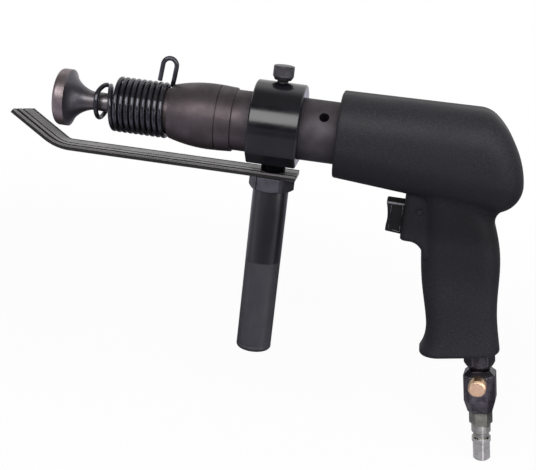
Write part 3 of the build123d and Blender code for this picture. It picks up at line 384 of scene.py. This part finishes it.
# Cubics between the knots, with each knot's slope taken from its two neighbours
def smoothThrough(knots, values, places):
    slopes = np.gradient(values, knots)
    before = np.clip(np.searchsorted(knots, places) - 1, 0, len(knots) - 2)
    after = before + 1
    step = knots[after] - knots[before]
    share = (places - knots[before]) / step
    return cubic(share, values[before], slopes[before] * step, values[after], slopes[after] * step)


# Retainer spring: a helix whose radius and advance change at its front, then a finger loop
retainer = {
    "wireR": 1.65, "coilR": 17.65, "coilStart": 41.45, "coilPitch": 3.95, "coilFrom": 540, "lastTurn": 3945.3,
    "front": [(-14, 8.7, 12.1), (15, 10.2, 11.8), (50, 12.2, 11.3), (90, 12.3, 10.9), (180, 11.6, 10.9),
              (270, 8.9, 10.9), (360, 5.3, 12.0), (450, 1.0, 15.0), (540, 0.0, 17.65),
              (630, -0.9875, 17.65)],  # turn in degrees, mm ahead of the coils, radius
    "lean": 7.0, "foot": (80.37, 0.0, 23.38), "leave": 9.6, "leg": 7.4, "width": 9.6, "tail": 12.0,
    "sides": 16, "spacing": 0.9, "helixPoints": 2400, "liftPoints": 40, "legPoints": 20, "loopPoints": 40,
    "tailPoints": 30,
}


def retainerLine(spec):
    knots, ahead, radii = np.array(spec["front"]).T
    turn = np.linspace(knots[0], spec["lastTurn"], spec["helixPoints"])
    wound = spec["coilStart"] + (turn - spec["coilFrom"]) / 360 * spec["coilPitch"]
    front = turn < spec["coilFrom"]
    frontTurn = np.minimum(turn, spec["coilFrom"])
    x = np.where(front, spec["coilStart"] - smoothThrough(knots, ahead, frontTurn), wound)
    radius = np.where(front, smoothThrough(knots, radii, frontTurn), spec["coilR"])
    angle = np.radians(turn)
    helix = np.stack([x, -radius * np.sin(angle), radius * np.cos(angle)], 1)
    lean = math.radians(spec["lean"])
    legDir = np.array([math.sin(lean), 0, math.cos(lean)])
    acrossDir = np.array([-math.cos(lean), 0, math.sin(lean)])
    foot = np.array(spec["foot"])
    share = np.linspace(0, 1, spec["liftPoints"])[1:, None]
    leave = unit(helix[-1] - helix[-2]) * spec["leave"]
    lifted = cubic(share, helix[-1], leave, foot, legDir * spec["leave"])
    leg = foot + legDir * spec["leg"] * np.linspace(0, 1, spec["legPoints"])[1:, None]
    sweep = np.linspace(0, np.pi, spec["loopPoints"])[1:, None]
    loop = leg[-1] + spec["width"] / 2 * ((1 - np.cos(sweep)) * acrossDir + np.sin(sweep) * legDir)
    tail = loop[-1] - legDir * spec["tail"] * np.linspace(0, 1, spec["tailPoints"])[1:, None]
    hook = np.concatenate([leg, loop, tail])
    sideways = np.concatenate([np.zeros((len(helix), 1)), share, np.ones((len(hook), 1))])
    reference = (1 - sideways) * alongX + sideways * alongY
    return evenly(np.hstack([np.concatenate([helix, lifted, hook]), reference]), spec["spacing"])


line = retainerLine(retainer)
retainerWire = wireGrid(line[:, :3], line[:, 3:], retainer["wireR"], retainer["sides"])
gridPiece("retainerSpring", retainerWire, temperedWire, "retainer", ["retainer_spring"])

# Throttle spring behind the trigger: plain helix, at one length
throttle = {"wireR": 0.45, "coilR": 3.6, "pitch": 2.0, "turns": 5, "startX": 287.1, "z": -54.5, "sides": 10,
            "points": 260, "seatX": 298.2, "kept": 0.5, "overlap": 0.2}  # overlap: radians added at both ends
lastAngle = 2 * np.pi * throttle["turns"] + throttle["overlap"]
turn = np.linspace(-throttle["overlap"], lastAngle, throttle["points"])
throttleLine = np.stack([
    throttle["startX"] + turn / (2 * np.pi) * throttle["pitch"],
    -throttle["coilR"] * np.sin(turn),
    throttle["z"] + throttle["coilR"] * np.cos(turn),
], 1)
throttleWire = wireGrid(throttleLine, alongX, throttle["wireR"], throttle["sides"])
throttleSpring = gridPiece("throttleSpring", throttleWire, groundSteel, "tool", ["throttle_spring"])
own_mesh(throttleSpring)


def boxMm(node):  # a CAD node's two corners in mm
    low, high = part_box(node)
    return np.array(low) / mm, np.array(high) / mm


# Turned piece: a profile of (height, radius) about a vertical line, with a ripple on the radius
def turnedGrid(profile, centreX, segments, ripple):
    angle = np.linspace(0, 2 * np.pi, segments, endpoint=False)
    height, radius = profile[:, 0][:, None], profile[:, 1][:, None]
    radius = radius + ripple(height, angle[None])
    x = centreX + radius * np.cos(angle)
    y = radius * np.sin(angle)
    return np.stack([x, y, height + 0 * x], -1)


def roundedEdge(height, radius, size, outward, steps=6):  # quarter circle between a flat end and the side
    angle = np.linspace(0, np.pi / 2, steps)
    return np.stack([height + outward * size * (np.sin(angle) - 1), radius - size * (1 - np.cos(angle))], 1)


# Side handle: plain upper half, diamond knurl below, cut by two crossing sets of grooves
sideHandle = {"knurlTop": -96.5, "knurlBottom": -160.6, "teeth": 60, "perTooth": 5, "depth": 0.4, "fade": 0.5,
              "margin": 1, "edge": 2.2, "rim": 0.6, "plain": [-60.0, -80.0], "topFlat": 0.6, "endFlat": 0.5}
handleLow, handleHigh = boxMm("side_handle")
handleX, handleR = (handleLow[0] + handleHigh[0]) / 2, (handleHigh[0] - handleLow[0]) / 2


def knurl(height, angle):
    spec = sideHandle
    lead = spec["teeth"] / handleR  # grooves at 45 degrees
    inside = np.clip((spec["knurlTop"] - height) / spec["fade"], 0, 1)
    inside = inside * np.clip((height - spec["knurlBottom"]) / spec["fade"], 0, 1)
    one = np.abs(np.sin((spec["teeth"] * angle + lead * height) / 2))
    two = np.abs(np.sin((spec["teeth"] * angle - lead * height) / 2))
    return -spec["depth"] * inside * (1 - np.minimum(one, two))


toothPitch = 2 * np.pi * handleR / sideHandle["teeth"]
knurlFrom = sideHandle["knurlTop"] + sideHandle["margin"]
knurlTo = sideHandle["knurlBottom"] - sideHandle["margin"]
knurlRows = int((knurlFrom - knurlTo) / toothPitch * sideHandle["perTooth"])
handleProfile = np.concatenate([
    [[handleHigh[2], 0.0], [handleHigh[2], handleR * sideHandle["topFlat"]]],
    roundedEdge(handleHigh[2], handleR, sideHandle["rim"], 1)[::-1],
    [[height, handleR] for height in sideHandle["plain"]],
    np.linspace((knurlFrom, handleR), (knurlTo, handleR), knurlRows),
    roundedEdge(handleLow[2], handleR, sideHandle["edge"], -1),
    [[handleLow[2], handleR * sideHandle["endFlat"]], [handleLow[2], 0.0]],
])
handleGrid = turnedGrid(handleProfile, handleX, sideHandle["teeth"] * sideHandle["perTooth"], knurl)
gridPiece("sideHandle", handleGrid, satinAnodised, "clamp", ["side_handle"], sharp=60)

# Thumb screw: faint straight knurl round the head, thread on the neck
thumbScrew = {"thread": 4.0, "pitch": 1.25, "threadDepth": 0.45, "threadFade": 0.3, "threadRows": 90,
              "neckGap": 0.05, "head": 9.7, "bevel": 2.6, "bevelShare": 0.6, "bevelStart": (0.2, 0.15),
              "bevelRows": 6, "headGap": 0.1, "headRows": 24, "crown": 0.8, "topFlat": 0.5, "segments": 200,
              "ridges": 40, "ridge": 0.16, "fade": 0.4}
thumbLow, thumbHigh = boxMm("thumb_screw")
thumbX, thumbR = (thumbLow[0] + thumbHigh[0]) / 2, (thumbHigh[0] - thumbLow[0]) / 2
thumbTip, thumbTop = thumbLow[2], thumbHigh[2]
thumbUnder = thumbTop - thumbScrew["head"]


def thumbRipple(height, angle):
    spec = thumbScrew
    onHead = np.clip((height - thumbUnder - spec["bevel"]) / spec["fade"], 0, 1)
    onHead = onHead * np.clip((thumbTop - spec["crown"] - height) / spec["fade"], 0, 1)
    ridges = -spec["ridge"] * onHead * (0.5 + 0.5 * np.cos(spec["ridges"] * angle))
    onNeck = np.clip((thumbUnder - height) / spec["threadFade"], 0, 1)
    onNeck = onNeck * np.clip((height - thumbTip) / spec["threadFade"], 0, 1)
    phase = height / spec["pitch"] - angle / (2 * np.pi)
    return ridges - spec["threadDepth"] * onNeck * np.abs(2 * (phase - np.floor(phase)) - 1)


threadR = thumbScrew["thread"]
bevelIn = thumbR - thumbScrew["bevel"] * thumbScrew["bevelShare"]
bevelUp, bevelOut = thumbScrew["bevelStart"]
bevelTop = thumbUnder + thumbScrew["bevel"]
neckTop = thumbUnder - thumbScrew["neckGap"]
crownFrom = thumbTop - thumbScrew["crown"]
thumbProfile = np.concatenate([
    [[thumbTip, 0.0]],
    np.linspace((thumbTip, threadR), (neckTop, threadR), thumbScrew["threadRows"]),
    [[thumbUnder, threadR], [thumbUnder, bevelIn]],
    np.linspace((thumbUnder + bevelUp, bevelIn + bevelOut), (bevelTop, thumbR), thumbScrew["bevelRows"]),
    np.linspace((bevelTop + thumbScrew["headGap"], thumbR), (crownFrom, thumbR), thumbScrew["headRows"]),
    roundedEdge(thumbTop, thumbR, thumbScrew["crown"], 1),
    [[thumbTop, thumbR * thumbScrew["topFlat"]], [thumbTop, 0.0]],
])
thumbGrid = turnedGrid(thumbProfile, thumbX, thumbScrew["segments"], thumbRipple)
gridPiece("thumbScrew", thumbGrid, blackOxide, "clamp_screw", ["thumb_screw"], sharp=50)

# Guide bar: a grooved section carried along a line with one bend, its tip cut askew
guideBar = {
    "kinkX": 2.9, "rise": 32.7, "farKink": 2.2, "bendNear": 34.0, "bendFar": 6.0, "tip": 36.5, "skew": 5.4,
    "thick": 3.4, "edge": [(0.3, -1.7), (0.0, -1.45), (0.0, 0.75), (0.8, 1.7)],  # mm in from the side, height
    "grooves": [(-8.9, 3.2, 1.4, -40), (-2.0, 1.8, 1.2, 9),
                (9.8, 1.6, 1.0, 9)],  # y, width, depth, painted dark from x
    "steep": 0.12, "sideways": 0.95, "upward": -0.1, "flatRows": 40, "bendRows": 24, "tipRows": 14,
}
barLow, barHigh = boxMm("guide_bar")


def barSection(spec):  # (across, up) points round the section, from the middle of the underside
    top = spec["thick"] / 2
    edge = [(barHigh[1] - inward, height) for inward, height in spec["edge"]]
    upper = []
    for place, width, depth, _ in sorted(spec["grooves"], reverse=True):
        rim, foot = width / 2, width / 2 - spec["steep"]
        upper += [(place + rim, top), (place + foot, top - depth)]
        upper += [(place - foot, top - depth), (place - rim, top)]
    otherEdge = [(-across, height) for across, height in reversed(edge)]
    return np.array([(0, -top), *edge, *upper, *otherEdge], float)


def barGrid(spec):
    rise = math.radians(spec["rise"])
    angle = np.linspace(0, rise, spec["bendRows"])[1:, None]
    barZ = barLow[2] + spec["thick"] / 2
    section = barSection(spec)
    across, up = section.T
    farness = across / (2 * barHigh[1])  # -0.5 at the near edge, 0.5 at the far one
    bend = spec["bendNear"] + (spec["bendFar"] - spec["bendNear"]) * (farness + 0.5)  # far edge tighter
    reach = bend * math.tan(rise / 2)
    kink = spec["kinkX"] + spec["farKink"] * (farness + 0.5)
    flatX = barHigh[0] + np.linspace(0, 1, spec["flatRows"])[:, None] * (kink + reach - barHigh[0])
    bendX = flatX[-1] - bend * np.sin(angle)
    bendZ = barZ + bend * (1 - np.cos(angle))
    tipLength = spec["tip"] - spec["skew"] * farness - reach  # the cut slants across the tip
    along = np.linspace(0, 1, spec["tipRows"])[1:, None] * tipLength
    x = np.concatenate([flatX, bendX, bendX[-1] - along * math.cos(rise)])
    z = np.concatenate([np.full(flatX.shape, barZ), bendZ, bendZ[-1] + along * math.sin(rise)])
    slope = np.concatenate([np.zeros((len(flatX), 1)), angle, np.full((len(along), 1), rise)])
    body = np.stack([x + np.sin(slope) * up, across + 0 * x, z + np.cos(slope) * up], -1)
    ends = [np.repeat(body[k].mean(0, keepdims=True), len(section), 0)[None] for k in (0, -1)]
    return np.concatenate([ends[0], body, ends[1]])


barPiece = gridPiece("guideBar", barGrid(guideBar), barPaint, "guide", ["guide_bar"], sharp=20)
barMesh = barPiece.data
barMesh.materials.append(barShadePaint)
facing, centres = np.empty(3 * len(barMesh.polygons)), np.empty(3 * len(barMesh.polygons))
barMesh.polygons.foreach_get("normal", facing)
barMesh.polygons.foreach_get("center", centres)
barX, barY = centres[0::3] / mm, centres[1::3] / mm
# painted shade: faces in the grooves and on the sides take the darker copy of the paint
inGroove = [(np.abs(barY - y) < width / 2) & (barX > start) for y, width, _, start in guideBar["grooves"]]
inGroove = np.any(inGroove, 0) & (facing[2::3] > guideBar["upward"])
onSide = np.abs(facing[1::3]) > guideBar["sideways"]
barMesh.polygons.foreach_set("material_index", (inGroove | onSide).astype(np.int32))

# Studio: white backdrop and floor behind, a darker room in front, a wide soft box in front, a dim one above
# and a narrow one at each side
studio = {
    "floorZ": cadLow.z - 0.0005, "floorHalf": 6.0, "floorColour": "#f2f2f0", "bounceColour": "#484848",
    "glow": 0.95, "fadeFrom": 0.35, "fadeTo": 0.9,
    "ambient": 0.06, "roomFront": 0.05, "wallFrom": 0.1, "wallTo": 0.6,
    "mirrorTint": "#f3f0ff", "left": (-0.03, -0.2, 0.45),  # x from, x to, share added
    "mirrorFloor": [(-0.9, 0.55), (-0.62, 0.55), (-0.5, 0.65), (-0.42, 0.3), (-0.36, 0.15), (-0.28, 0.25),
                    (-0.2, 1.0), (-0.09, 0.9), (-0.03, 0.2), (0.2, 0.18),
                    (0.9, 0.8)],  # y in m, share of white
    "plugFoot": (0.329, 0.0), "plugCard": (0.14, 0.08, 0.38),  # card: radius from, radius to, share
    "streak": (18, 11, 0.7), "streakCore": 0.4,  # degrees, half width, share; part of the width at full share
    "lamps": [  # name, place, target, width, height, watts
        ("keyLamp", (0.15, -1.05, 0.565), (0.15, 0.0, -0.03), 1.8, 0.62, 20.5),
        ("topLamp", (0.15, 0.1, 1.3), (0.15, 0.0, -0.03), 2.4, 2.0, 3.6),
        ("sideLamp", (-1.1, -0.5, 0.15), (0.14, 0.0, -0.05), 0.4, 1.0, 2.0),
        ("edgeLamp", (1.2, -0.5, 0.2), (0.2, 0.0, -0.05), 0.4, 1.0, 4.8),
    ],
}
floorMesh = bpy.data.meshes.new("studioFloor")
floorSquare = np.array([[-1, -1], [1, -1], [1, 1], [-1, 1]]) * studio["floorHalf"]
floorCorners = np.column_stack([floorSquare, np.full(4, studio["floorZ"])])
floorMesh.from_pydata(floorCorners.tolist(), [], [[0, 1, 2, 3]])
floor = bpy.data.objects.new("studioFloor", floorMesh)
scene.collection.objects.link(floor)
floorFinish = bpy.data.materials.new("paleStudioFloor")
floorFinish.use_nodes = True
tree = floorFinish.node_tree
tree.nodes.clear()
seen = addNode(tree, "ShaderNodeLightPath").outputs
place = addNode(tree, "ShaderNodeTexCoord").outputs["Object"]
floorPlace = addNode(tree, "ShaderNodeSeparateXYZ", {}, {0: place}).outputs
away = vectorMaths(tree, "LENGTH", {0: place}, "Value")
whiter = mapped(tree, away, (studio["fadeFrom"], studio["fadeTo"]), (studio["glow"], 1.0))
mirrorY = [y for y, _ in studio["mirrorFloor"]]
ramp = addNode(tree, "ShaderNodeValToRGB", {}, {
    0: mapped(tree, floorPlace["Y"], (mirrorY[0], mirrorY[-1]), curve="LINEAR")})
stops = ramp.color_ramp.elements
for y, value in studio["mirrorFloor"]:  # what reflections see of the floor: dim below the barrel
    at = (y - mirrorY[0]) / (mirrorY[-1] - mirrorY[0])
    if y == mirrorY[0]:  # a new ramp has its two end stops
        stop = stops[0]
    elif y == mirrorY[-1]:
        stop = stops[-1]
    else:
        stop = stops.new(at)
    stop.position, stop.color = at, (value, value, value, 1)
leftFrom, leftTo, leftMost = studio["left"]
beside = mapped(tree, floorPlace["X"], (leftFrom, leftTo), (0.0, leftMost))
shade = maths(tree, "ADD", ramp.outputs["Color"], beside)
fromPlug = vectorMaths(tree, "SUBTRACT", {0: place, 1: (*studio["plugFoot"], studio["floorZ"])})
cardFrom, cardTo, cardShare = studio["plugCard"]  # pale card round the plug's foot, brighter in one direction
card = mapped(tree, vectorMaths(tree, "LENGTH", {0: fromPlug}, "Value"), (cardFrom, cardTo))
plugPlace = addNode(tree, "ShaderNodeSeparateXYZ", {}, {0: fromPlug}).outputs
bearing = maths(tree, "ARCTAN2", plugPlace["X"], maths(tree, "MULTIPLY", plugPlace["Y"], -1.0))
streakAt, streakHalf, streakMost = studio["streak"]
off = maths(tree, "ABSOLUTE", maths(tree, "SUBTRACT", bearing, math.radians(streakAt)))
streakSpan = (math.radians(streakHalf), math.radians(streakHalf * studio["streakCore"]))
streak = mapped(tree, off, streakSpan, (cardShare, cardShare + streakMost))
shade = maths(tree, "MULTIPLY_ADD", card, streak, shade)
mirrored = maths(tree, "MAXIMUM", seen["Is Glossy Ray"], seen["Is Transmission Ray"])
direct = maths(tree, "MAXIMUM", seen["Is Camera Ray"], mirrored)
glowShare = maths(tree, "MULTIPLY", direct, whiter)
strength = mixed(tree, "FLOAT", mirrored, 1.0, shade)
bounce, shown = linear(studio["bounceColour"]), linear(studio["floorColour"])
cast = mixed(tree, "RGBA", seen["Is Camera Ray"], bounce, shown)
dull = addNode(tree, "ShaderNodeBsdfDiffuse", {}, {"Color": cast})
tone = mixed(tree, "RGBA", mirrored, white, linear(studio["mirrorTint"]))
glow = addNode(tree, "ShaderNodeEmission", {}, {"Color": tone, "Strength": strength})
both = addNode(tree, "ShaderNodeMixShader", {}, {0: glowShare, 1: dull.outputs[0], 2: glow.outputs[0]})
addNode(tree, "ShaderNodeOutputMaterial", {}, {"Surface": both.outputs[0]})
floorMesh.materials.append(floorFinish)

world = bpy.data.worlds.new("studioWorld")
scene.world = world
world.use_nodes = True
tree = world.node_tree
tree.nodes.clear()
seen = addNode(tree, "ShaderNodeLightPath").outputs
direction = addNode(tree, "ShaderNodeTexCoord").outputs["Generated"]
heading = addNode(tree, "ShaderNodeSeparateXYZ", {}, {0: direction}).outputs
behind = mapped(tree, heading["Y"], (studio["wallFrom"], studio["wallTo"]), (studio["roomFront"], 1.0))
mirrored = maths(tree, "MAXIMUM", seen["Is Glossy Ray"], seen["Is Transmission Ray"])
roomLight = mixed(tree, "FLOAT", mirrored, studio["ambient"], behind)
skyLight = mixed(tree, "FLOAT", seen["Is Camera Ray"], roomLight, 1.0)
sky = addNode(tree, "ShaderNodeBackground", {}, {"Color": white, "Strength": skyLight})
addNode(tree, "ShaderNodeOutputWorld", {}, {"Surface": sky.outputs[0]})

for name, spot, target, wide, tall, watts in studio["lamps"]:
    lamp = bpy.data.lights.new(name, "AREA")
    lamp.shape = "RECTANGLE"
    lamp.size, lamp.size_y, lamp.energy = wide, tall, watts
    holder = bpy.data.objects.new(name, lamp)
    scene.collection.objects.link(holder)
    back = unit(np.array(spot) - np.array(target))
    right = unit(np.cross([0, 0, 1.0], back))
    turnTo = np.stack([right, np.cross(back, right), back], 1)
    holder.matrix_world = Matrix.Translation(spot) @ Matrix(turnTo.tolist()).to_4x4()

# Camera: place and turn found by fitting the photograph's edges, for a frame of 536 by 470
camera = {"place": (0.23926, -0.70269, 0.13171), "yaw": 0.1170, "pitch": -0.2887, "roll": -0.1123,
          "focalPx": 1046.32, "framePx": 536, "sensor": 36.0, "clip": (0.01, 50)}
cameraData = bpy.data.cameras.new("photoCamera")
cameraData.sensor_width = camera["sensor"]
cameraData.lens = camera["focalPx"] * camera["sensor"] / camera["framePx"]
cameraData.clip_start, cameraData.clip_end = camera["clip"]
photoCamera = bpy.data.objects.new("photoCamera", cameraData)
scene.collection.objects.link(photoCamera)
aim = np.array(Matrix.Rotation(camera["yaw"], 3, "Z") @ Matrix.Rotation(camera["pitch"], 3, "X")
               @ Matrix.Rotation(camera["roll"], 3, "Y"))  # columns: right, forward, up
aim = np.stack([aim[:, 0], aim[:, 2], -aim[:, 1]], 1)
photoCamera.matrix_world = Matrix.Translation(camera["place"]) @ Matrix(aim.tolist()).to_4x4()
scene.camera = photoCamera
print("studio and camera placed")
